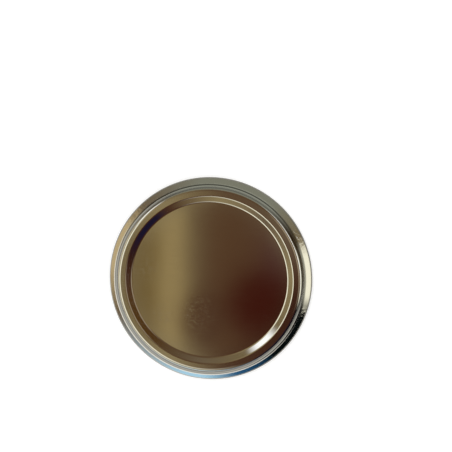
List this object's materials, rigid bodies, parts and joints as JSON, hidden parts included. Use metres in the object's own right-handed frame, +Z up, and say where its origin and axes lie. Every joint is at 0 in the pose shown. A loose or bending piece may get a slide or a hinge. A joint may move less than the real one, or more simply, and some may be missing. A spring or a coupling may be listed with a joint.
{
  "type": "jar lid",
  "caption": "Shallow pressed tinplate jar lid with a recessed panel, a stepped shoulder, a rolled rim and a sealing ring under it.",
  "frame": {"origin": "centre of the rolled rim, on the surface that the lid lies on", "axes": "+Z up along the lid's own axis, out of the panel; X and Y in the plane of the rim"},
  "size_m": [0.088, 0.088, 0.0064],
  "materials": {
    "tinplate": "bright, clear lacquered, fine rolling grain",
    "sealing_compound": "satin"
  },
  "bodies": {
    "root": {"lid_shell": "tinplate", "sealing_ring": "sealing_compound"}
  },
  "joints": []
}
